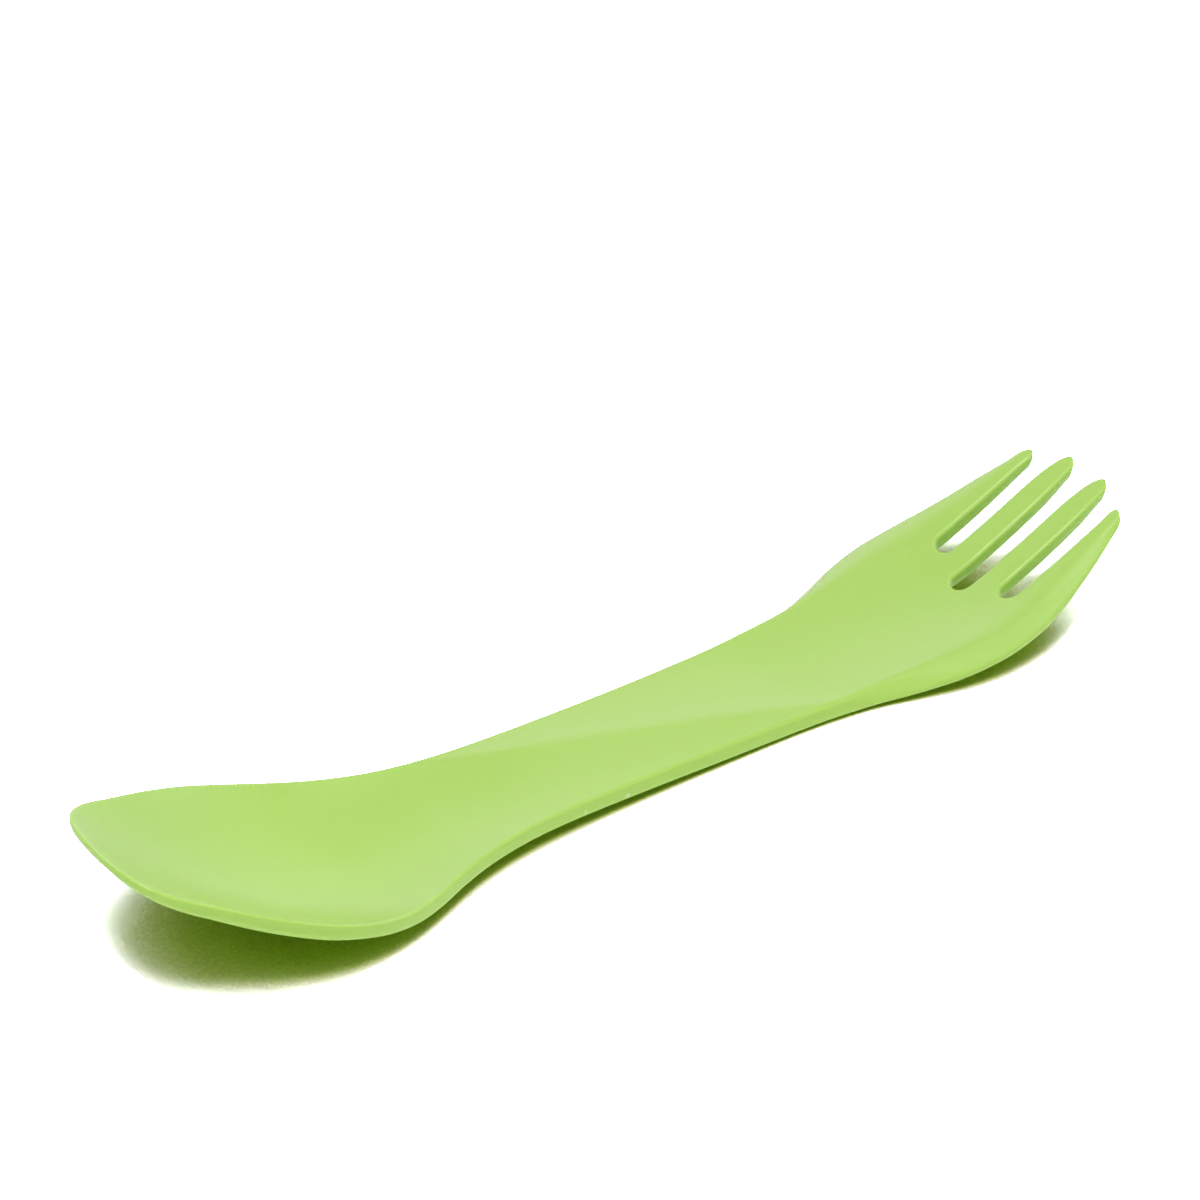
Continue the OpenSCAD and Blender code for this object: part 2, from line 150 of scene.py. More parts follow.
@dataclass
class Moulding:
    """The spork's surfaces, as functions of the place along it and across it, in millimetres.

    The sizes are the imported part's, apart from what the photograph shows more finely: the tines'
    width and slots, the handle's height by the fork, and the roundings, which only this model has.
    """

    # Main sizes
    bowl_length: float = 54.0
    handle_length: float = 64.0
    palm_length: float = 31.6
    tine_length: float = 20.4
    outer_tine_short: float = 2.6
    bowl_width: float = 37.6
    handle_width: float = 20.0
    fork_width: float = 34.2
    tine_width: float = 4.3
    slot_width: float = 3.1
    middle_slot_extra: float = 3.1
    margin_width: float = 4.0
    # Heights and depths
    lip_height: float = 23.1
    handle_height_bowl: float = 4.6
    handle_height_fork: float = 3.05
    tine_tip_height: float = 15.9
    bowl_depth: float = 6.2
    handle_dish: float = 1.1
    palm_dish: float = 1.85
    crease_height: float = 0.7
    crease_shoulder: float = 0.6
    # Plastic at the middle, the side face and the outer edge
    wall: float = 2.0
    rim_face: float = 2.4
    handle_face: float = 2.6
    margin_edge: float = 1.0
    margin_fall: float = 0.44
    tine_tip_wall: float = 1.5
    # Roundings, and how far each reaches over the top and down the side
    rim_round_in: float = 1.0
    rim_round_out: float = 0.9
    rim_lift: float = 0.2
    rim_lift_start: float = 8.0
    crest_round_in: float = 2.8
    crest_round_out: float = 1.4
    slot_round: float = 0.7
    under_round: float = 0.25
    # Tines: slant of the sides, length of the round end and what it leaves blunt
    tine_draft: float = 0.25
    tine_nose: float = 1.5
    tine_blunt: float = 0.3
    inner_tip_round: float = 0.22
    outer_tip_round: float = 0.2
    # How the crease's ridge is eased, and its ends as shares of the handle
    crease_ease: float = 0.09
    crease_ease_width: float = 1.6
    crease_ends: Pair = (0.03, 0.97)
    # The bowl's front, where the outline turns across the spork
    lip_start: float = 0.0324
    lip_power: float = 2.5
    front_length: float = 6.0
    front_fade: float = 14.0
    nose_share: float = 0.167
    # Steps of the calculation
    least_width: float = 0.01
    side_step: float = 0.01
    lip_step: float = 0.002
    lip_halvings: int = 40

    def __post_init__(self) -> None:
        """Works out the places that the shapes hang on."""
        self.palm_x = self.bowl_length + self.handle_length
        self.root_x = self.palm_x + self.palm_length
        self.tip_x = self.root_x + self.tine_length
        self.outer_tip_x = self.tip_x - self.outer_tine_short
        self.outer_span = self.outer_tip_x - self.root_x
        self.middle_slot_x = self.root_x - self.middle_slot_extra
        self.split_x = self.middle_slot_x - self.slot_width
        self.slot_half = self.slot_width / 2
        self.inner_tine_y = self.slot_half + self.tine_width / 2
        self.outer_slot_y = self.tine_width + self.slot_width
        self.outer_tine_y = self.outer_slot_y + self.slot_half
        self.centre_x = (self.lip_start + self.tip_x) / 2
        first, last = self.crease_ends
        self.crease_x0 = self.bowl_length + first * self.handle_length
        self.crease_x1 = self.bowl_length + last * self.handle_length
        self.nose_length = self.nose_share * self.bowl_length

    def along(
        self, bowl: Rows, handle: Rows, palm: Rows, tine: Rows, base: float, rise: float, end: float
    ) -> Curve:
        """One curve over the whole spork from the shares of its four regions.

        Args:
            bowl: shares along the bowl.
            handle: shares along the handle.
            palm: shares along the fork palm.
            tine: shares along the tines.
            base: value at share 0.
            rise: value added at share 1.
            end: length of the tines that the last shares run over.

        Returns:
            The curve.
        """
        return Curve(
            placed(bowl, 0, self.bowl_length, base, rise)
            + placed(handle, self.bowl_length, self.handle_length, base, rise)
            + placed(palm, self.palm_x, self.palm_length, base, rise)
            + placed(tine, self.root_x, end, base, rise)
        )

    @cached_property
    def outline(self) -> Curve:
        """Half width of the outer edge, before the lip's rounding."""
        half, bowl, fork = self.handle_width / 2, self.bowl_width / 2, self.fork_width / 2
        bowl_rows: Rows = (
            (0, 0.3), (0.074, 0.31), (0.148, 0.4), (0.24, 0.61), (0.333, 0.81), (0.444, 0.965),
            (0.537, 1), (0.63, 0.96), (0.722, 0.83), (0.815, 0.625), (0.907, 0.4), (1, 0.227),
        )
        waist: Rows = ((0.094, 0.097), (0.1875, 0.034), (0.3125, 0.008), (0.5, 0.01))
        flare: Rows = ((0.66, 0.04), (0.8125, 0.08), (0.906, 0.135), (1, 0.24))
        palm: Rows = (
            (0.127, 0.35), (0.253, 0.52), (0.38, 0.69), (0.506, 0.855), (0.633, 0.957), (0.76, 1),
            (0.95, 0.935),
        )
        tine: Rows = ((0.135, 0.82), (0.36, 0.67), (0.585, 0.51), (0.81, 0.32), (1, 0.16))
        return Curve(
            placed(bowl_rows, 0, self.bowl_length, half, bowl - half)
            + placed(waist, self.bowl_length, self.handle_length, half, bowl - half)
            + placed(flare, self.bowl_length, self.handle_length, half, fork - half)
            + placed(palm, self.palm_x, self.palm_length, half, fork - half)
            + placed(tine, self.root_x, self.outer_span, half, fork - half)
        )

    @cached_property
    def margin(self) -> Curve:
        """Width from the crest out to the edge, before the lip's rounding."""
        return self.along(
            ((0, 0.02), (0.9, 0.02)),
            ((0, 0.02), (0.7, 0.02), (0.906, 0.06), (1, 0.175)),
            (
                (0.127, 0.35), (0.253, 0.525), (0.38, 0.71), (0.506, 0.9), (0.633, 0.99), (0.76, 1),
                (0.95, 0.94),
            ),
            ((0.135, 0.79), (0.42, 0.575), (0.7, 0.35), (0.92, 0.12), (1, 0.06)),
            0, self.margin_width, self.outer_span,
        )

    @cached_property
    def rim(self) -> Curve:
        """Height of the rim, and of the fork's crests."""
        bowl: Rows = (
            (0, 1), (0.074, 0.876), (0.148, 0.762), (0.24, 0.625), (0.333, 0.489), (0.444, 0.335),
            (0.537, 0.216), (0.63, 0.1135), (0.722, 0.042), (0.815, 0.007), (0.907, 0), (1, 0),
        )
        handle: Rows = ((0.18, 0.08), (0.47, 0.57), (0.66, 0.86), (0.85, 1), (1, 0.9))
        palm: Rows = (
            (0.127, 0.03), (0.253, 0.055), (0.38, 0.087), (0.506, 0.127), (0.7, 0.2), (0.85, 0.262),
            (1, 0.345),
        )
        tine: Rows = (
            (0.175, 0.445), (0.37, 0.57), (0.61, 0.74), (0.81, 0.883), (0.95, 0.97), (1, 1),
        )
        high, low = self.handle_height_bowl, self.handle_height_fork
        rise = self.tine_tip_height - low
        return Curve(
            placed(bowl, 0, self.bowl_length, high, self.lip_height - high)
            + placed(handle, self.bowl_length, self.handle_length, high, low - high)
            + placed(palm, self.palm_x, self.palm_length, low, rise)
            + placed(tine, self.root_x, self.tine_length, low, rise)
        )

    @cached_property
    def dish(self) -> Curve:
        """Depth of the middle below the rim."""
        bowl: Rows = (
            (0, 0), (0.074, 0.32), (0.148, 0.6), (0.24, 0.85), (0.333, 0.97), (0.426, 1),
            (0.556, 0.865), (0.667, 0.685), (0.778, 0.485), (0.889, 0.36), (1, 0.28),
        )
        handle: Rows = ((0.125, 1.2), (0.25, 1.09), (0.47, 1), (0.72, 0.92), (1, 0.9))
        palm: Rows = ((0.253, 0.7), (0.506, 0.89), (0.7, 1), (0.85, 0.89), (1, 0.6))
        tine: Rows = ((0.175, 0.38), (0.37, 0.24), (0.61, 0.11), (0.85, 0.02), (1, 0))
        return Curve(
            placed(bowl, 0, self.bowl_length, 0, self.bowl_depth)
            + placed(handle, self.bowl_length, self.handle_length, 0, self.handle_dish)
            + placed(palm, self.palm_x, self.palm_length, 0, self.palm_dish)
            + placed(tine, self.root_x, self.tine_length, 0, self.palm_dish)
        )

    @cached_property
    def crease(self) -> Curve:
        """Height of the handle's crease over the line between its rims."""
        rows: Rows = (
            (0, 0), (0.08, 0.12), (0.2, 0.6), (0.36, 0.96), (0.5, 1),
            (0.64, 0.96), (0.8, 0.6), (0.92, 0.12), (1, 0),
        )
        length = self.crease_x1 - self.crease_x0
        return Curve(placed(rows, self.crease_x0, length, 0, self.crease_height))

    @cached_property
    def face(self) -> Curve:
        """Height of the side face on the bowl and the handle."""
        bowl: Rows = ((0, 0.8), (0.15, 1), (0.4, 1.12), (0.6, 1.05), (0.8, 1.1), (1, 1.08))
        handle: Rows = ((0.1, 1), (0.3, 1), (0.6, 1), (0.85, 1), (0.95, 1.02), (1, 1.05))
        return Curve(
            placed(bowl, 0, self.bowl_length, 0, self.rim_face)
            + placed(handle, self.bowl_length, self.handle_length, 0, self.handle_face)
        )

    @cached_property
    def drop(self) -> Curve:
        """Height from the fork's crest down to the underside of its edge."""
        palm: Rows = (
            (0.127, 1.04), (0.253, 1.07), (0.38, 1.09), (0.506, 1.06), (0.7, 0.99), (0.85, 0.97),
            (1, 0.98),
        )
        tine: Rows = ((0.2, 1.08), (0.5, 1.0), (0.8, 0.76), (1, 0.5))
        fall = self.margin_width * self.margin_fall
        return Curve(
            placed(((0, 1.05),), self.palm_x, self.palm_length, 0, self.handle_face)
            + placed(palm, self.palm_x, self.palm_length, self.margin_edge, fall)
            + placed(tine, self.root_x, self.outer_span, self.margin_edge, fall)
        )

    @cached_property
    def edge(self) -> Curve:
        """Thickness of the outer edge under the side face or margin."""
        handle: Rows = ((0, 0.8), (1, 0.8))
        palm: Rows = ((0.2, 0.75), (0.45, 1), (0.8, 1.05), (1, 1.25))
        tine: Rows = ((0.2, 1.45), (0.6, 1.5), (1, 1.1))
        return Curve(
            placed(handle, 0, self.palm_x, 0, self.margin_edge)
            + placed(palm, self.palm_x, self.palm_length, 0, self.margin_edge)
            + placed(tine, self.root_x, self.outer_span, 0, self.margin_edge)
        )

    @cached_property
    def plastic(self) -> Curve:
        """Thickness of the plastic along the middle."""
        bowl: Rows = ((0, 0.85), (0.15, 0.95), (0.4, 1), (0.9, 1))
        handle: Rows = ((0.12, 1), (0.4, 1.06), (0.7, 1.12), (0.85, 1.2), (1, 1.21))
        palm: Rows = ((0.15, 1.14), (0.35, 1.04), (0.6, 1.04), (1, 1.24))
        return Curve(
            placed(bowl, 0, self.bowl_length, 0, self.wall)
            + placed(handle, self.bowl_length, self.handle_length, 0, self.wall)
            + placed(palm, self.palm_x, self.palm_length, 0, self.wall)
            + placed(((0.3, 1.34), (0.7, 1.3)), self.root_x, self.tine_length, 0, self.wall)
            + placed(((1, 1.3),), self.root_x, self.tine_length, 0, self.tine_tip_wall)
        )

    @cached_property
    def tine_narrowing(self) -> Curve:
        """Share of its width that an inner tine keeps towards its tip."""
        rows: Rows = (
            (0, 1), (0.5, 1), (0.66, 0.98), (0.76, 0.93), (0.86, 0.83), (0.93, 0.73), (1, 0.62),
        )
        return Curve(placed(rows, self.root_x, self.tine_length, 0, 1))

    def tine_end(self, x: float, tip: float) -> float:
        """Share of a tine's width that its round end leaves at x, down to a small blunt end."""
        nose = self.tine_nose * (tip - self.root_x) / self.tine_length
        return math.sqrt(max(1 - (max(x - tip + nose, 0.0) / nose) ** 2, self.tine_blunt**2))

    @cached_property
    def outer_tine_inside(self) -> Curve:
        """Where the inside edge of an outer tine lies across the fork."""
        rows: Rows = ((0, 0), (0.8, 0), (0.9, -0.03), (1, -0.1))
        rise = self.tine_width * 2 / 3
        return Curve(placed(rows, self.root_x, self.outer_span, self.outer_tine_y, rise))

    @cached_property
    def round_in(self) -> Curve:
        """How far the rim's or crest's rounding reaches inwards, over the upper surface."""
        rim, crest = self.rim_round_in, self.crest_round_in
        return Curve(((0, rim), (self.palm_x, rim), (self.split_x, crest), (self.root_x, crest)))

    @cached_property
    def round_out(self) -> Curve:
        """How far the rim's or crest's rounding reaches outwards, down the face."""
        rim, crest = self.rim_round_out, self.crest_round_out
        return Curve(((0, rim), (self.palm_x, rim), (self.split_x, crest), (self.root_x, crest)))

    def nose(self, x: float) -> float:
        """Share of the outline's width that the lip's rounding leaves at x."""
        gap = 1 - min(max(x, 0.0) / self.nose_length, 1.0)
        return (1 - gap**self.lip_power) ** (1 / self.lip_power)

    def blade_middle(self, x: float) -> float:
        """Distance of an outer tine's middle line from the spork's."""
        return (self.outline.at(x) + self.outer_tine_inside.at(x)) / 2

    def edge_y(self, x: float) -> float:
        """Half width at x.

        Args:
            x: distance from the lip.

        Returns:
            The distance of the outer edge from the middle.
        """
        if x <= self.outer_tip_x - self.tine_nose:
            return self.outline.at(x) * self.nose(x)
        middle = self.blade_middle(x)
        return middle + (self.outline.at(x) - middle) * self.tine_end(x, self.outer_tip_x)

    def inside_y(self, x: float) -> float:
        """Distance of an outer tine's inside edge from the middle at x.

        Args:
            x: distance from the lip.

        Returns:
            The distance, which behind the tine is its centre line's.
        """
        if x <= self.root_x:
            return self.outer_tine_y
        inside = self.outer_tine_inside.at(x)
        if x <= self.outer_tip_x - self.tine_nose:
            return inside
        middle = self.blade_middle(x)
        return middle - (middle - inside) * self.tine_end(x, self.outer_tip_x)

    def crest_y(self, x: float) -> float:
        """Distance of the rim or crest from the middle at x."""
        return self.edge_y(x) - self.margin.at(x) * self.nose(x)

    def low_z(self, x: float) -> float:
        """Height of the outer edge's underside at x."""
        return self.rim.at(x) - (self.face.at(x) if x < self.palm_x else self.drop.at(x))

    def trough(self, u: float, span: float, x: float) -> float:
        """Height over the rim line at share u of one side of the crease.

        Args:
            u: share of the way from the rim to the crease.
            span: this side's share of the whole width.
            x: distance from the lip.

        Returns:
            The height, below 0 in the dish.
        """
        rise = self.crease.at(x) if self.crease_x0 < x < self.crease_x1 else 0.0
        flat = 1 - self.crease_shoulder * rise / self.crease_height
        depth = self.dish.at(x) * smooth(span) * flat
        return rise * u - depth * 4 * u * (1 - u)

    def top_z(self, x: float, y: float) -> float:
        """Height of the upper surface, with the crease's ridge eased off.

        Args:
            x: distance from the lip.
            y: distance from the middle, below 0 on the right.

        Returns:
            The height.
        """
        crest = max(self.crest_y(x), self.least_width)
        k = 1 - 2 * (x - self.crease_x0) / (self.crease_x1 - self.crease_x0)
        k = min(max(k, -1.0), 1.0)
        t = min(max(y / crest, -1.0), 1.0)
        right = self.trough((t + 1) / (k + 1), (k + 1) / 2, x) if k > -1 else None
        left = self.trough((1 - t) / (1 - k), (1 - k) / 2, x) if k < 1 else None
        if right is None or left is None:
            return self.rim.at(x) + (left if right is None else right)
        blend = 0.5 - (t - k) * crest / self.crease_ease_width
        if blend <= 0:
            return self.rim.at(x) + left
        if blend >= 1:
            return self.rim.at(x) + right
        sharp = right if t <= k else left
        ease = self.crease_ease * min(self.crease.at(x), 1.0) * (1 - abs(2 * blend - 1)) ** 2
        return self.rim.at(x) + sharp - ease

    def under_z(self, x: float, y: float) -> float:
        """Height of the underside.

        Args:
            x: distance from the lip.
            y: distance from the middle.

        Returns:
            The height.
        """
        base = self.rim.at(x) - self.dish.at(x) - self.plastic.at(x)
        t = min(abs(y) / max(self.edge_y(x), self.least_width), 1.0)
        return base + (self.low_z(x) - base) * t * t

    def edge_slope(self, x: float, step: float) -> float:
        """Slope of the outline at x, over a step to each side that stays behind the lip."""
        first, last = max(x - step, 0.0), x + step
        return (self.edge_y(last) - self.edge_y(first)) / (last - first)

    def slope(self, x: float) -> float:
        """Slope of the outline at x, eased out behind the bowl's front."""
        ease = smooth((x - self.front_length) / self.front_fade)
        return self.edge_slope(x, self.side_step) * (1 - ease)

    def lip_x(self, y: float) -> float:
        """Where the outline reaches the half width y, in front of the bowl's widest place.

        Args:
            y: half the width asked for.

        Returns:
            The distance from the lip.
        """
        low, high = 0.0, self.front_length
        for _ in range(self.lip_halvings):
            mid = (low + high) / 2
            if self.edge_y(mid) < y:
                low = mid
            else:
                high = mid
        return high


@dataclass
class SporkBody:
    """The whole moulding as one closed piece, from a flat sheet of cells.

    A cell line along the spork is a row, counted out from the middle, and one across it a station.
    The last rows on each side, and the stations before 0, make the side face or the fork's margin.
    """

    shape: Moulding
    # Rows from one edge to the next, and steps round a wall
    slot_rows: int = 5
    tine_rows: int = 4
    blade_rows: int = 5
    bend_rows: int = 5
    face_rows: int = 5
    top_steps: int = 4
    low_steps: int = 3
    nose_steps: int = 10
    # Where the stations' spacing changes, and how far the bowl's front and the slots bend them
    corner_x: float = 3.0
    front_x: float = 12.0
    rim_follow_x: float = 40.0
    decay_length: float = 25.0
    slot_reach: float = 9.0
    slot_decay: float = 1.5
    # Underside's first row, share of the side face that is bent, and the margin's crown
    under_inset: float = 1.5
    under_inset_share: float = 0.6
    bend_share: float = 0.6
    margin_crown: float = 30.0
    # Stations in each stretch
    front_stations: int = 13
    long_stations: int = 120
    palm_stations: int = 30
    split_stations: int = 8
    middle_stations: int = 7
    tine_stations: int = 26
    # Points closer than this are merged
    merge_gap: float = 0.002
    stations: list[float] = field(default_factory=list)

    def __post_init__(self) -> None:
        """Counts the rows and places the stations."""
        s = self.shape
        self.layers = self.top_steps + 2 + self.low_steps
        self.row_slot = self.slot_rows
        self.row_tine = self.row_slot + self.tine_rows
        self.row_blade = self.row_tine + 2 * self.slot_rows
        self.row_crest = self.row_blade + self.blade_rows
        self.side_rows = self.bend_rows + self.face_rows
        self.row_edge = self.row_crest + self.side_rows
        places = spread(self.corner_x, self.front_x, self.front_stations)
        places += spread(self.front_x, s.palm_x, self.long_stations)
        places += spread(s.palm_x, s.split_x, self.palm_stations)
        places += spread(s.split_x, s.middle_slot_x, self.split_stations)
        self.station_middle = len(places)
        places += spread(s.middle_slot_x, s.root_x, self.middle_stations)
        self.station_root = len(places)
        places += spread(s.root_x, s.tip_x - s.tine_nose, self.tine_stations)
        turns = spread(0, math.pi / 2, self.nose_steps)
        places += [s.tip_x - s.tine_nose * (1 - math.sin(turn)) for turn in turns]
        self.stations = places
        self.station_tip = len(places) - 1
        self.root_rows = {level: self.row_places(self.station_root, level) for level in Level}

    # Places in plan

    def place(self, i: int, outer: bool) -> float:
        """Distance from the lip of station i, on an outer tine or elsewhere.

        Args:
            i: the station.
            outer: whether it is asked for an outer tine, which is shorter.

        Returns:
            The distance.
        """
        x = self.stations[i]
        s = self.shape
        if outer and i > self.station_root:
            return s.root_x + (x - s.root_x) * s.outer_span / s.tine_length
        return x

    def inset(self, level: Level) -> float:
        """How far a skin's last row stays inside a slot's wall."""
        s = self.shape
        return s.slot_round if level is Level.TOP else s.tine_draft + s.under_round

    def edge_inset(self, x: float, level: Level) -> float:
        """How far the crest's row stays inside the outline.

        Args:
            x: distance from the lip.
            level: the skin.

        Returns:
            The distance, square to the outline.
        """
        s = self.shape
        margin = s.margin.at(x) * s.nose(x)
        rounding = self.rounding(x, s.round_in)
        if level is Level.TOP:
            return margin + rounding
        room = s.edge_y(x) - s.inside_y(x) if x > s.split_x else s.fork_width
        return min(max(margin + rounding, self.under_inset), self.under_inset_share * room)

    def rounding(self, x: float, way: Curve) -> float:
        """Reach of the rim's or crest's rounding, within a quarter of an outer tine.

        Args:
            x: distance from the lip.
            way: the inward or outward reach along the spork.

        Returns:
            The reach.
        """
        s = self.shape
        if x <= s.root_x:
            return way.at(x)
        return min(way.at(x), (s.edge_y(x) - s.inside_y(x)) / 4)

    def rim_point(self, x: float, inset: float) -> Pair:
        """Point inside the left outline, along the outline's normal.

        Args:
            x: distance from the lip of the outline's point.
            inset: how far inside.

        Returns:
            Distance from the lip and from the middle.
        """
        s = self.shape
        slope = s.slope(x)
        size = math.hypot(slope, 1)
        return x + inset * slope / size, s.edge_y(x) - inset / size

    def lip_point(self, share: float, inset: float) -> Pair:
        """Point inside the bowl's front edge, at a share of the front's half width.

        Args:
            share: 0 in the middle, 1 at the corner.
            inset: how far inside.

        Returns:
            Distance from the lip and from the middle.
        """
        s = self.shape
        y = share * s.edge_y(self.corner_x)
        x = s.lip_x(y) if y > 0 else 0.0
        slope = s.edge_slope(x, s.lip_step) if share < 1 else s.slope(self.corner_x)
        size = math.hypot(slope, 1)
        return x + inset * slope / size, y - inset / size

    def inner_tine_half(self, i: int) -> float:
        """Half the width of an inner tine at a station, and of the plastic behind it.

        Args:
            i: the station.

        Returns:
            Half the width.
        """
        s = self.shape
        if i <= self.station_root:
            return s.tine_width / 2
        x = self.stations[i]
        return s.tine_width / 2 * s.tine_narrowing.at(x) * s.tine_end(x, s.tip_x)

    def row_places(self, i: int, level: Level) -> list[float]:
        """Where each row up to the crest's lies across the fork at station i.

        Args:
            i: the station.
            level: the skin.

        Returns:
            One distance from the middle for each row.
        """
        s = self.shape
        outer_x = self.place(i, True)
        inset = self.inset(level)
        radius = s.slot_half + inset
        crest = self.rim_point(outer_x, self.edge_inset(outer_x, level))[1]
        rows = [radius * math.sin(turn) for turn in spread(0, math.pi / 2, self.slot_rows)]
        half = self.inner_tine_half(i)
        tight = min(inset, half / 2)
        first, last = s.inner_tine_y - half + tight, s.inner_tine_y + half - tight
        rows += spread(first, last, self.tine_rows) + [last]
        turns = spread(0, math.pi, 2 * self.slot_rows)[1:]
        rows += [s.outer_slot_y - radius * math.cos(turn) for turn in turns]
        inside = s.inside_y(outer_x)
        first = inside + min(inset, (s.edge_y(outer_x) - inside) / 4)
        return rows + spread(first, crest, self.blade_rows) + [crest]

    def across(self, i: int, row: int, level: Level) -> float:
        """Distance of a row from the middle: in step with the slots at the fork, else shared out.

        Args:
            i: the station.
            row: the row, up to the crest's.
            level: the skin.

        Returns:
            The distance.
        """
        s = self.shape
        x = self.stations[i]
        rows = self.row_places(i, level) if x > s.palm_x else None
        crest = self.rim_point(self.place(i, True), self.edge_inset(self.place(i, True), level))[1]
        even = self.front_share(row, level) * crest
        if rows is None:
            return even
        return even + (rows[row] - even) * smooth((x - s.palm_x) / (s.split_x - s.palm_x))

    def slot_end(self, row: int, level: Level, middle: float) -> Pair:
        """Place of a row on a slot's round end: back from the end's centre, and across from it.

        Args:
            row: the row.
            level: the skin.
            middle: distance of the slot from the middle.

        Returns:
            Both distances.
        """
        radius = self.shape.slot_half + self.inset(level)
        y = self.root_rows[level][row] - middle
        return math.sqrt(max(radius**2 - y**2, 0)), y

    def pull(self, i: int, row: int, level: Level) -> float:
        """How far a slot's round end draws a point back along the spork.

        Args:
            i: the station.
            row: the row.
            level: the skin.

        Returns:
            The distance, 0 or below.
        """
        s = self.shape
        if row < self.row_slot and i <= self.station_middle:
            middle, start = 0.0, s.middle_slot_x
        elif self.row_tine < row < self.row_blade and i <= self.station_root:
            middle, start = s.outer_slot_y, s.root_x
        else:
            return 0.0
        fade = max(1 - (start - self.stations[i]) / self.slot_reach, 0.0) ** self.slot_decay
        return -self.slot_end(row, level, middle)[0] * fade

    def front_share(self, row: int, level: Level) -> float:
        """Share of the way out from the middle to the crest's row at which a row lies."""
        return self.root_rows[level][row] / self.root_rows[level][self.row_crest]

    def plan(self, i: int, row: int, level: Level) -> Pair:
        """Place in plan of a point up to the crest's row, on the left side.

        Args:
            i: the station, 0 or more.
            row: the row, up to the crest's.
            level: the skin.

        Returns:
            Distance from the lip and from the middle.
        """
        s = self.shape
        outer = row >= self.row_blade
        x = self.place(i, outer)
        y = self.across(i, row, level)
        share = self.front_share(row, level)
        if x < self.rim_follow_x:
            rim_x = self.rim_point(self.stations[i], self.edge_inset(self.stations[i], level))[0]
            x += (rim_x - self.stations[i]) * share**2
            front = self.lip_point(share, self.edge_inset(self.corner_x, level))
            start = self.rim_point(self.corner_x, self.edge_inset(self.corner_x, level))
            base = (self.corner_x + (start[0] - self.corner_x) * share**2, share * start[1])
            fade = max(1 - (self.stations[i] - self.corner_x) / self.decay_length, 0.0) ** 2
            x += (front[0] - base[0]) * fade
            y += (front[1] - base[1]) * fade
        x += self.pull(i, row, level)
        if i == self.station_tip:
            x -= self.tip_round(outer)
        return x, y

    def tip_round(self, outer: bool) -> float:
        """Rounding at the end of a tine."""
        return self.shape.outer_tip_round if outer else self.shape.inner_tip_round

    # Points in space

    def face_point(
        self, edge: Pair, way: Pair, x: float, step: int, level: Level, side: int
    ) -> Vector:
        """Point on the side face or margin, or under it.

        Args:
            edge: the outline's point.
            way: the outline's outward normal in plan.
            x: distance from the lip at which the heights are read.
            step: steps out from the crest's row.
            level: the skin.
            side: 1 to read the left side's heights, -1 the right's.

        Returns:
            The point, in millimetres from the lip.
        """
        s = self.shape
        margin = s.margin.at(x) * s.nose(x)
        thick, low = s.edge.at(x), s.low_z(x)
        out = Vector((way[0], way[1], 0))
        brim = Vector((edge[0], edge[1], 0))
        if level is Level.UNDER:
            inner = self.edge_inset(x, level)
            inset = inner + (thick / 2 - inner) * step / self.side_rows
            p = brim - out * inset
            p.z = low if step == self.side_rows else s.under_z(p.x, p.y)
            return p
        start = brim - out * (margin + self.rounding(x, s.round_in))
        start.z = s.top_z(start.x, side * start.y)
        corner = brim - out * margin
        lift = (1 - smooth((x - s.palm_x) / s.palm_length)) * smooth(x / s.rim_lift_start)
        corner.z = s.rim.at(x) + s.rim_lift * lift
        foot = brim.copy()
        foot.z = low + thick
        fall = foot - corner
        bend = min(self.rounding(x, s.round_out), fall.length * self.bend_share)
        bend_end = corner + fall.normalized() * bend
        if step <= self.bend_rows:
            t = step / self.bend_rows
            return start * (1 - t) ** 2 + corner * 2 * t * (1 - t) + bend_end * t * t
        t = (step - self.bend_rows) / self.face_rows
        bulge = margin / self.margin_crown * math.sin(math.pi * t)
        p = bend_end.lerp(foot, t) + out * bulge
        p.z += bulge
        return p

    def edge_wall(self, edge: Pair, way: Pair, x: float, layer: int) -> Vector:
        """Point on the half-round under the outer edge.

        Args:
            edge: the outline's point.
            way: its outward normal in plan.
            x: distance from the lip for its heights.
            layer: steps down from the top.

        Returns:
            The point, in millimetres from the lip.
        """
        s = self.shape
        turn = math.pi / 2 * layer / self.layers
        thick = s.edge.at(x)
        inset = thick / 2 * (1 - math.cos(turn))
        z = s.low_z(x) + thick * (1 - math.sin(turn))
        return Vector((edge[0] - way[0] * inset, edge[1] - way[1] * inset, z))

    def slot_wall(
        self, top: Vector, under: Vector, way: Vector, layer: int, reach: float
    ) -> Vector:
        """Point on a tine's side or end, from its top row round to its under row.

        Args:
            top: the point of the top skin's last row.
            under: the point of the underside's last row.
            way: the wall's outward normal in plan.
            layer: steps down from the top.
            reach: distance from the top row to the wall.

        Returns:
            The point, in millimetres from the lip.
        """
        s = self.shape
        wall = top + way * reach
        r = min(reach, s.slot_round)
        r_low = min(s.under_round, reach)
        if layer <= self.top_steps:
            turn = math.pi / 2 * layer / self.top_steps
            p = wall - way * (reach - reach * math.sin(turn))
            p.z = top.z - r * (1 - math.cos(turn))
            return p
        foot = Vector((under.x, under.y, 0)) + way * r_low
        if layer == self.top_steps + 1:
            p = (wall + foot) / 2
            p.z = (top.z - r + under.z + r_low) / 2
            return p
        turn = math.pi / 2 * (layer - self.top_steps - 2) / self.low_steps
        p = foot - way * r_low * (1 - math.cos(turn))
        p.z = under.z + r_low * (1 - math.sin(turn))
        return p

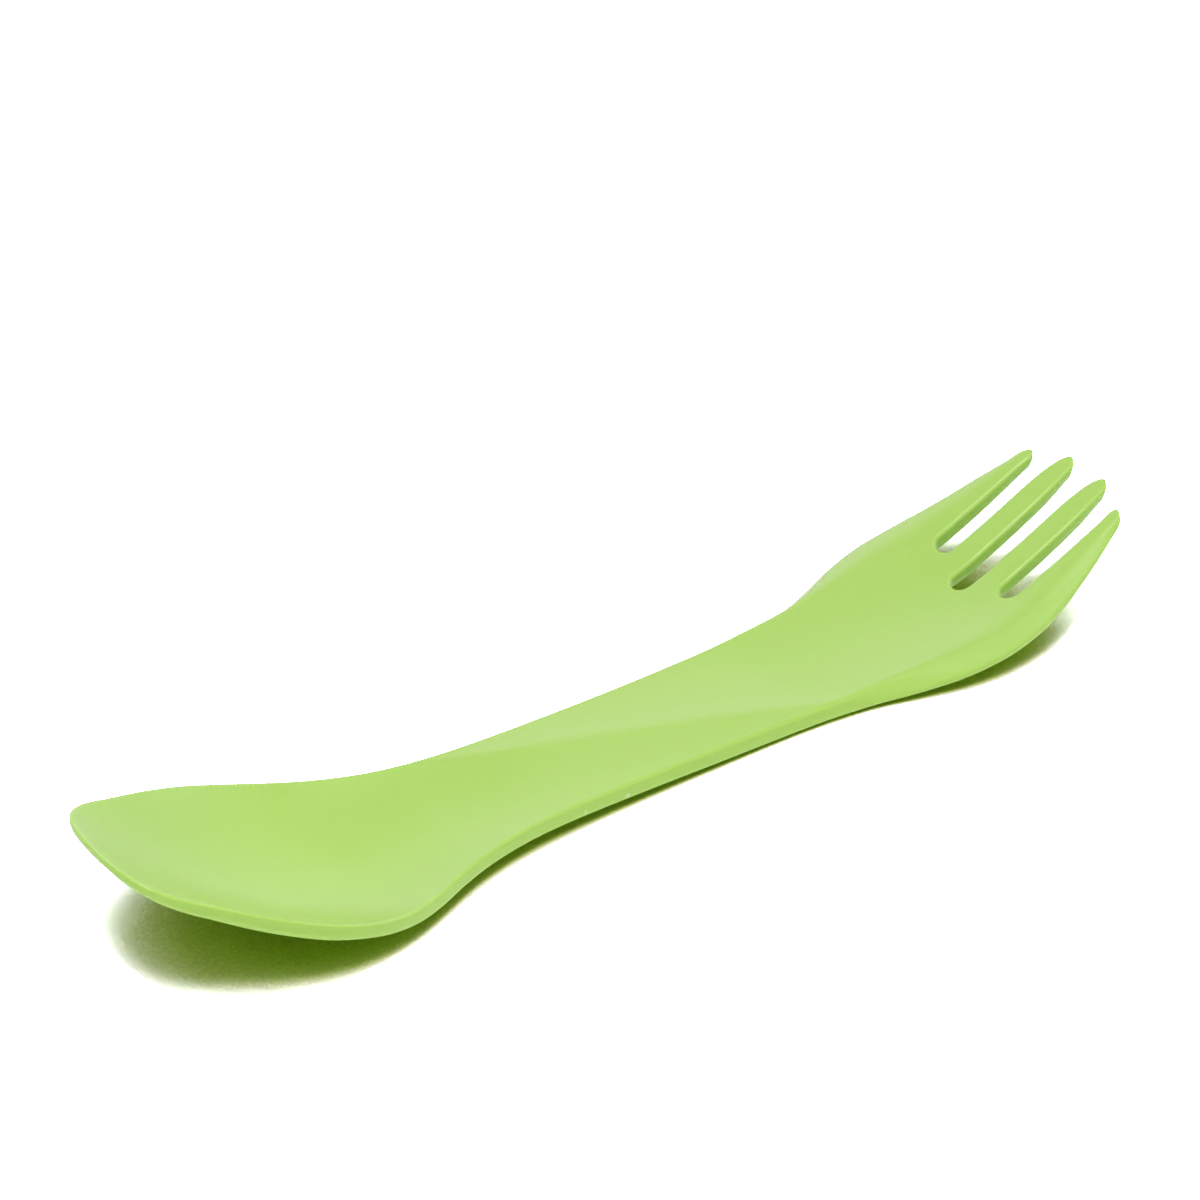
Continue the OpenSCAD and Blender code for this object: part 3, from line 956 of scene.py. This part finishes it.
    def outline_point(self, i: int, row: int, level: Level) -> tuple[Pair, Pair, float]:
        """Point of the left outline, at the lip or along the side.

        Args:
            i: the station, below 0 in front of the lip.
            row: the row.
            level: the skin.

        Returns:
            The point, its outward normal in plan, and the distance from the lip for its heights.
        """
        if i < 0:
            share = self.front_share(row, level)
            edge, inner = self.lip_point(share, 0.0), self.lip_point(share, 1.0)
            x = max(edge[0], self.shape.lip_start)
        else:
            x = self.place(i, True)
            edge, inner = self.rim_point(x, 0.0), self.rim_point(x, 1.0)
        return edge, (edge[0] - inner[0], edge[1] - inner[1]), x

    def skin_point(self, i: int, row: int, level: Level, side: int) -> Vector:
        """Point of either skin, laid out on the left with the heights of the side asked for.

        Args:
            i: the station.
            row: the row.
            level: the skin.
            side: 1 for left, -1 for right.

        Returns:
            The point, in millimetres from the lip.
        """
        s = self.shape
        if i < 0 or row > self.row_crest:
            edge, way, x = self.outline_point(i, row, level)
            p = self.face_point(edge, way, x, -i if i < 0 else row - self.row_crest, level, side)
            if i == self.station_tip:
                p.x -= self.tip_round(True)
            return p
        x, y = self.plan(i, row, level)
        z = s.top_z(x, side * y) if level is Level.TOP else s.under_z(x, y)
        return Vector((x, y, z))

    def wall_way(self, i: int, row: int) -> Vector:
        """Outward normal in plan of the wall that a boundary point belongs to.

        Args:
            i: the station.
            row: the row.

        Returns:
            The normal, one unit long.
        """
        if i == self.station_tip:
            side = 0.0
            if row in (self.row_slot, self.row_blade):
                side = -1.0
            elif row in (self.row_tine, self.row_edge):
                side = 1.0
            return Vector((1, side, 0)).normalized()
        middle = None
        if i == self.station_middle and row <= self.row_slot:
            middle = 0.0
        elif i == self.station_root and self.row_tine <= row <= self.row_blade:
            middle = self.shape.outer_slot_y
        if middle is not None:
            depth, y = self.slot_end(row, Level.TOP, middle)
            return Vector((depth, -y, 0)).normalized()
        return Vector((0, -1 if row in (self.row_slot, self.row_blade) else 1, 0))

    def point(self, i: int, row: int, layer: int) -> Vector:
        """Point of the finished moulding for one corner of the flat sheet's cells.

        Args:
            i: the station.
            row: the row, below 0 on the right side.
            layer: 0 on the top skin, up to the number of layers on the underside.

        Returns:
            The point, in millimetres from the lip.
        """
        side = -1 if row < 0 else 1
        row = abs(row)
        if layer == 0:
            p = self.skin_point(i, row, Level.TOP, side)
        elif layer == self.layers:
            p = self.skin_point(i, row, Level.UNDER, side)
        elif i < 0 or (row == self.row_edge and i < self.station_tip):
            p = self.edge_wall(*self.outline_point(i, row, Level.TOP), layer)
        else:
            top, under = (self.skin_point(i, row, level, side) for level in Level)
            p = self.slot_wall(top, under, self.wall_way(i, row), layer, self.reach(i, row))
        p.y *= side
        p.z = max(p.z, 0.0)
        return p

    def reach(self, i: int, row: int) -> float:
        """Distance from the top skin's last row out to the wall.

        Args:
            i: the station.
            row: the row.

        Returns:
            The distance.
        """
        s = self.shape
        if i == self.station_tip:
            return self.tip_round(row >= self.row_blade)
        if i <= self.station_root:
            return s.slot_round
        if row <= self.row_tine:
            return min(s.slot_round, self.inner_tine_half(i) / 2)
        x = self.place(i, True)
        return min(s.slot_round, (s.edge_y(x) - s.inside_y(x)) / 4)

    # Modelling

    def sheet(self) -> bpy.types.Object:
        """Adds the flat sheet, one unit a cell, with station 0 and the middle row at the origin.

        Returns:
            The sheet.
        """
        cells_x = self.station_tip + self.side_rows
        cells_y = 2 * self.row_edge
        bpy.ops.object.select_all(action="DESELECT")
        bpy.ops.mesh.primitive_grid_add(x_subdivisions=cells_x, y_subdivisions=cells_y, size=1)
        piece = bpy.context.object
        piece.name = "spork_moulding"
        piece.data.name = "spork_moulding"
        if len(piece.data.vertices) != (cells_x + 1) * (cells_y + 1):
            raise ValueError("the grid has another number of cells than asked for")
        for v in piece.data.vertices:
            v.co.x = round((v.co.x + 0.5) * cells_x) - self.side_rows
            v.co.y = round((v.co.y + 0.5) * cells_y) - self.row_edge
        return piece

    def cell_is_open(self, i: float, row: float) -> bool:
        """Whether the cell whose middle is given lies in a slot or beyond the lip's corners.

        Args:
            i: the middle's station.
            row: the middle's row.

        Returns:
            True for a cell to cut out.
        """
        row = abs(row)
        if i < 0:
            return row > self.row_crest
        if row < self.row_slot:
            return i > self.station_middle
        return self.row_tine < row < self.row_blade and i > self.station_root

    def cut_open_cells(self, piece: bpy.types.Object) -> None:
        """Deletes the cells of the slots and of the sheet's two front corners.

        Args:
            piece: the sheet.
        """
        bpy.ops.object.mode_set(mode="EDIT")
        bpy.ops.mesh.select_mode(type="FACE")
        bpy.ops.mesh.select_all(action="DESELECT")
        mesh = bmesh.from_edit_mesh(piece.data)
        for face in mesh.faces:
            middle = face.calc_center_median()
            face.select_set(self.cell_is_open(middle.x, middle.y))
        bmesh.update_edit_mesh(piece.data)
        bpy.ops.mesh.delete(type="FACE")

    def thicken(self, piece: bpy.types.Object) -> None:
        """Extrudes the sheet down, one unit a layer, which closes it all round.

        Args:
            piece: the sheet; not used.
        """
        bpy.ops.mesh.select_all(action="SELECT")
        for _ in range(self.layers):
            bpy.ops.mesh.extrude_region_move(TRANSFORM_OT_translate={"value": (0, 0, -1)})

    def open_lip_corners(self, piece: bpy.types.Object) -> None:
        """Deletes the walls between the front face and the side faces, which meet once bent.

        Args:
            piece: the flat block.
        """
        bpy.ops.mesh.select_all(action="DESELECT")
        mesh = bmesh.from_edit_mesh(piece.data)
        for face in mesh.faces:
            middle = face.calc_center_median()
            inner = -self.layers < middle.z < 0
            front = middle.x < 0 and abs(middle.y) == self.row_crest
            side = middle.x == 0 and abs(middle.y) > self.row_crest
            face.select_set(inner and (front or side))
        bmesh.update_edit_mesh(piece.data)
        bpy.ops.mesh.delete(type="FACE")
        bpy.ops.object.mode_set(mode="OBJECT")

    def bend(self, piece: bpy.types.Object) -> None:
        """Moves every corner of the flat block to its place on the spork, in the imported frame.

        Args:
            piece: the flat block.
        """
        s = self.shape
        for v in piece.data.vertices:
            p = self.point(round(v.co.x), round(v.co.y), round(-v.co.z))
            v.co = Vector((max(p.x, s.lip_start) - s.centre_x, p.y, p.z)) * MM

    def close(self, piece: bpy.types.Object) -> None:
        """Joins the lip's corners, turns the faces outwards and smooths the shading.

        Args:
            piece: the bent moulding; not used.
        """
        bpy.ops.object.mode_set(mode="EDIT")
        bpy.ops.mesh.select_all(action="SELECT")
        bpy.ops.mesh.remove_doubles(threshold=self.merge_gap * MM)
        bpy.ops.mesh.normals_make_consistent(inside=False)
        bpy.ops.object.mode_set(mode="OBJECT")
        bpy.ops.object.shade_smooth()

    def build(self) -> bpy.types.Object:
        """Models the moulding.

        Returns:
            The piece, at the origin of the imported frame.
        """
        piece = self.sheet()
        self.cut_open_cells(piece)
        self.thicken(piece)
        self.open_lip_corners(piece)
        self.bend(piece)
        self.close(piece)
        mesh = bmesh.new()
        mesh.from_mesh(piece.data)
        loose = sum(1 for e in mesh.edges if len(e.link_faces) != 2)
        volume = mesh.calc_volume() / MM**3
        faces = len(mesh.faces)
        log.info("%s: %d faces, %.0f mm3, %d open edges", piece.name, faces, volume, loose)
        mesh.free()
        return piece

    def dress(self, piece: bpy.types.Object, plastic: MouldedPlastic) -> None:
        """Gives the piece its plastic."""
        piece.data.materials.append(plastic.build())


@dataclass(frozen=True)
class MouldedPlastic:
    """Lime green polypropylene, injection moulded and opaque.

    A fine texture in the mould gives it a satin face that spreads highlights and turns pale at
    grazing angles. Light goes a little way in, so that thin edges look fuller in colour.
    """

    name: str = "lime_green_polypropylene"
    colour: str = "#AAD05B"
    deep_colour: str = "#A7CE55"
    roughness: float = 0.3
    roughness_range: Pair = (-0.04, 0.05)
    ior: float = 1.49
    scatter: float = 0.3
    scatter_reach_mm: float = 2.0
    scatter_colours: Triple = (0.5, 1.0, 0.25)
    grain_mm: float = 0.35
    grain_detail: float = 3.0
    grain_depth_mm: float = 0.02
    grain_strength: float = 0.06
    flow_mm: float = 18.0
    flow_detail: float = 2.0
    nicks: tuple[Triple, ...] = ((-13.6, -9.9, 2.5), (-6.4, -10.0, 2.1))
    nick_radii_mm: Pair = (0.15, 0.45)
    nick_cover: float = 0.65
    nick_colour: str = "#D8E8BC"

    def build(self) -> bpy.types.Material:
        """Makes the material.

        Returns:
            The material, read from object coordinates.
        """
        material = bpy.data.materials.new(self.name)
        material.use_nodes = True
        tree = material.node_tree
        shader = tree.nodes["Principled BSDF"]
        place = add(tree, "ShaderNodeTexCoord").outputs["Object"]
        # The melt's flow leaves broad, barely visible changes of shade.
        flow = add(
            tree, "ShaderNodeTexNoise",
            {"Vector": place, "Scale": 1 / (self.flow_mm * MM), "Detail": self.flow_detail},
        )
        tint = add(
            tree, "ShaderNodeMix",
            {"Factor": flow.outputs["Fac"], MIX_FIRST: linear(self.colour),
             MIX_SECOND: linear(self.deep_colour)},
            data_type="RGBA",
        )
        # Small nicks on the near edge, where the scuffed plastic turns pale.
        marks = tint.outputs[MIX_RESULT]
        for spot in self.nicks:
            gap = add(
                tree, "ShaderNodeVectorMath", {0: place, 1: tuple(c * MM for c in spot)},
                operation="DISTANCE",
            )
            inner, outer = self.nick_radii_mm
            mark = add(
                tree, "ShaderNodeMapRange",
                {"Value": gap.outputs["Value"], "From Min": inner * MM, "From Max": outer * MM,
                 "To Min": self.nick_cover, "To Max": 0.0},
            )
            marks = add(
                tree, "ShaderNodeMix",
                {"Factor": mark.outputs["Result"], MIX_FIRST: marks,
                 MIX_SECOND: linear(self.nick_colour)},
                data_type="RGBA",
            ).outputs[MIX_RESULT]
        tree.links.new(marks, shader.inputs["Base Color"])
        # The mould's texture is finer than this: it is drawn as coarse as the render can show.
        grain = add(
            tree, "ShaderNodeTexNoise",
            {"Vector": place, "Scale": 1 / (self.grain_mm * MM), "Detail": self.grain_detail},
        )
        low, high = self.roughness_range
        rough = add(
            tree, "ShaderNodeMapRange",
            {"Value": grain.outputs["Fac"], "To Min": self.roughness + low,
             "To Max": self.roughness + high},
        )
        tree.links.new(rough.outputs["Result"], shader.inputs["Roughness"])
        bump = add(
            tree, "ShaderNodeBump",
            {"Height": grain.outputs["Fac"], "Strength": self.grain_strength,
             "Distance": self.grain_depth_mm * MM},
        )
        tree.links.new(bump.outputs["Normal"], shader.inputs["Normal"])
        shader.inputs["IOR"].default_value = self.ior
        shader.inputs["Subsurface Weight"].default_value = self.scatter
        shader.inputs["Subsurface Radius"].default_value = self.scatter_colours
        shader.inputs["Subsurface Scale"].default_value = self.scatter_reach_mm * MM
        return material


def add(
    tree: bpy.types.NodeTree, kind: str, inputs: dict | None = None, **settings: object
) -> bpy.types.Node:
    """Adds one node.

    Args:
        tree: the tree it goes in.
        kind: the node's type.
        inputs: a value or another node's output for each named or numbered input.
        settings: the node's own settings.

    Returns:
        The node.
    """
    node = tree.nodes.new(kind)
    for name, value in settings.items():
        setattr(node, name, value)
    for socket, value in (inputs or {}).items():
        if isinstance(value, bpy.types.NodeSocket):
            tree.links.new(value, node.inputs[socket])
        else:
            node.inputs[socket].default_value = value
    return node


def set_stops(ramp: bpy.types.Node, stops: Stops) -> None:
    """Gives a colour ramp its stops.

    Args:
        ramp: the ramp's node.
        stops: place and linear colour of each, in order.
    """
    elements = ramp.color_ramp.elements
    while len(elements) < len(stops):
        elements.new(0.5)
    for element, (place, colour) in zip(elements, stops):
        element.position = place
        element.color = (*colour, 1)


@dataclass
class Studio:
    """White floor and surroundings, with three lamps.

    A wide lamp hangs overhead, a small one stands on the camera's side and throws the shadow, and
    a weak one stands past the fork. Sizes and places are in metres.
    """

    floor_size: float = 1.6
    floor_drop: float = 0.02 * MM
    floor_gain: float = 6.4
    floor_bounce: float = 1.3
    tooth_mm: float = 0.5
    tooth_detail: float = 3.0
    tooth_band: Pair = (0.25, 0.75)
    tooth_gain: Pair = (0.88, 1.12)
    # Painted shadow on the floor: how far it looks for the plastic, and its colours by how open the
    # floor is.
    painted_shade_reach: float = 0.05
    painted_shade_samples: int = 16
    painted_shade_stops: Stops = (
        (0.3, (0.05, 0.065, 0.006)),
        (0.45, (0.103, 0.1, 0.044)),
        (0.58, (0.235, 0.205, 0.26)),
        (0.69, (0.8, 0.73, 1.0)),
    )
    key_place: Triple = (-0.25, -0.245, 0.94)
    key_size: float = 0.21
    key_power: float = 4.7
    top_place: Triple = (0.0, -0.1, 1.2)
    top_size: float = 1.0
    top_power: float = 4.1
    side_place: Triple = (0.85, -0.15, 0.28)
    side_size: float = 0.4
    side_power: float = 0.9
    fill: float = 0.25
    backdrop: float = 2.5
    backdrop_stops: Rows = ((0.2, 0.72), (0.52, 1.0), (0.66, 1.0), (0.9, 0.72))
    camera_place: Triple = (-0.296786, -0.40958, 0.38643)
    camera_look: Triple = (0.47402, 0.66313, -0.57928)
    lens: float = 135.0
    sensor: float = 36.0
    clip: Pair = (0.01, 20.0)

    def build_floor(self) -> None:
        """Adds the floor, which shows white where it is lit and keeps the spork's cast shadow, with
        a dark green shadow painted into its colour near the plastic.
        """
        bpy.ops.object.select_all(action="DESELECT")
        bpy.ops.mesh.primitive_plane_add(size=self.floor_size, location=(0, 0, -self.floor_drop))
        floor = bpy.context.object
        floor.name = "studio_floor"
        material = bpy.data.materials.new("white_studio_floor")
        material.use_nodes = True
        tree = material.node_tree
        tree.nodes.clear()
        seen = add(tree, "ShaderNodeLightPath").outputs["Is Camera Ray"]
        # Painted shadow: near the plastic, by how much of the sky the spork hides, the floor's
        # colour turns to a dark green shade, which fades to white further off.
        near = add(
            tree, "ShaderNodeAmbientOcclusion", {"Distance": self.painted_shade_reach},
            samples=self.painted_shade_samples,
        )
        painted_shade = add(tree, "ShaderNodeValToRGB", {"Fac": near.outputs["AO"]})
        set_stops(painted_shade, self.painted_shade_stops)
        place = add(tree, "ShaderNodeTexCoord").outputs["Object"]
        # The floor's tooth breaks up the shadow's edge, coarser than paper's so that it shows.
        tooth = add(
            tree, "ShaderNodeTexNoise",
            {"Vector": place, "Scale": 1 / (self.tooth_mm * MM), "Detail": self.tooth_detail},
        )
        gain = add(
            tree, "ShaderNodeMapRange",
            {"Value": tooth.outputs["Fac"],
             "From Min": self.tooth_band[0], "From Max": self.tooth_band[1],
             "To Min": self.floor_gain * self.tooth_gain[0],
             "To Max": self.floor_gain * self.tooth_gain[1]},
        )
        # The painted shadow's colour, times the gain, is the floor's colour as the camera sees it.
        tint = add(
            tree, "ShaderNodeVectorMath", {0: painted_shade.outputs["Color"], 1: gain.outputs["Result"]},
            operation="MULTIPLY",
        )
        # Painted light: for light bouncing off it the floor's colour is above one, so it throws
        # back more light than falls on it and brightens the spork's side faces.
        bounce = add(tree, "ShaderNodeBsdfDiffuse", {"Color": (*[self.floor_bounce] * 3, 1)})
        shown = add(tree, "ShaderNodeBsdfDiffuse", {"Color": tint.outputs[0]})
        both = add(
            tree, "ShaderNodeMixShader", {0: seen, 1: bounce.outputs[0], 2: shown.outputs[0]},
        )
        add(tree, "ShaderNodeOutputMaterial", {"Surface": both.outputs[0]})
        floor.data.materials.append(material)

    def build_world(self) -> None:
        """Sets white surroundings: bright in reflections, plain to the camera, dim as a light."""
        world = bpy.data.worlds.new("white_surroundings")
        bpy.context.scene.world = world
        world.use_nodes = True
        tree = world.node_tree
        tree.nodes.clear()
        path = add(tree, "ShaderNodeLightPath")
        light = add(tree, "ShaderNodeBackground", {"Color": (1, 1, 1, 1), "Strength": self.fill})
        sky = add(tree, "ShaderNodeTexCoord").outputs["Generated"]
        way = add(tree, "ShaderNodeSeparateXYZ", {"Vector": sky})
        level = add(tree, "ShaderNodeValToRGB", {"Fac": way.outputs["Z"]})
        set_stops(level, tuple((place, (grey, grey, grey)) for place, grey in self.backdrop_stops))
        mirrored = add(
            tree, "ShaderNodeBackground",
            {"Color": level.outputs["Color"], "Strength": self.backdrop},
        )
        seen = add(tree, "ShaderNodeBackground", {"Color": (1, 1, 1, 1), "Strength": 1.0})
        lit = add(
            tree, "ShaderNodeMixShader",
            {0: path.outputs["Is Glossy Ray"], 1: light.outputs[0], 2: mirrored.outputs[0]},
        )
        both = add(
            tree, "ShaderNodeMixShader",
            {0: path.outputs["Is Camera Ray"], 1: lit.outputs[0], 2: seen.outputs[0]},
        )
        add(tree, "ShaderNodeOutputWorld", {"Surface": both.outputs[0]})

    def build_lamp(self, name: str, place: Triple, size: float, power: float) -> None:
        """Adds a square lamp that faces the spork.

        Args:
            name: the lamp's name.
            place: where it stands.
            size: its width.
            power: its power in watts.
        """
        data = bpy.data.lights.new(name, "AREA")
        data.size, data.energy = size, power
        lamp = bpy.data.objects.new(name, data)
        lamp.location = place
        lamp.rotation_euler = Vector(place).to_track_quat("Z", "Y").to_euler()
        bpy.context.scene.collection.objects.link(lamp)

    def build_camera(self) -> None:
        """Adds the camera where the photograph's stood."""
        data = bpy.data.cameras.new("camera")
        data.sensor_width = self.sensor
        data.lens = self.lens
        data.clip_start, data.clip_end = self.clip
        camera = bpy.data.objects.new("camera", data)
        camera.location = self.camera_place
        camera.rotation_euler = Vector(self.camera_look).to_track_quat("-Z", "Y").to_euler()
        bpy.context.scene.collection.objects.link(camera)
        bpy.context.scene.camera = camera
        bpy.context.scene.view_settings.view_transform = "Standard"

    def build(self) -> None:
        """Adds everything round the object."""
        self.build_camera()
        self.build_world()
        self.build_lamp("key_softbox", self.key_place, self.key_size, self.key_power)
        self.build_lamp("top_softbox", self.top_place, self.top_size, self.top_power)
        self.build_lamp("side_reflector", self.side_place, self.side_size, self.side_power)
        self.build_floor()


def main() -> None:
    """Builds the studio and the spork, puts the spork on the root body and hides the imported nodes
    that it stands for.
    """
    logging.basicConfig(level=logging.INFO, format="%(name)s: %(message)s")
    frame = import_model()
    Studio().build()
    spork = SporkBody(Moulding())
    body = spork.build()
    spork.dress(body, MouldedPlastic())
    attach(body, "root")
    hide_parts(*frame["nodes"])
    log.info("%s rides on root and stands for %d nodes", body.name, len(frame["nodes"]))


if __name__ == "__main__":
    main()
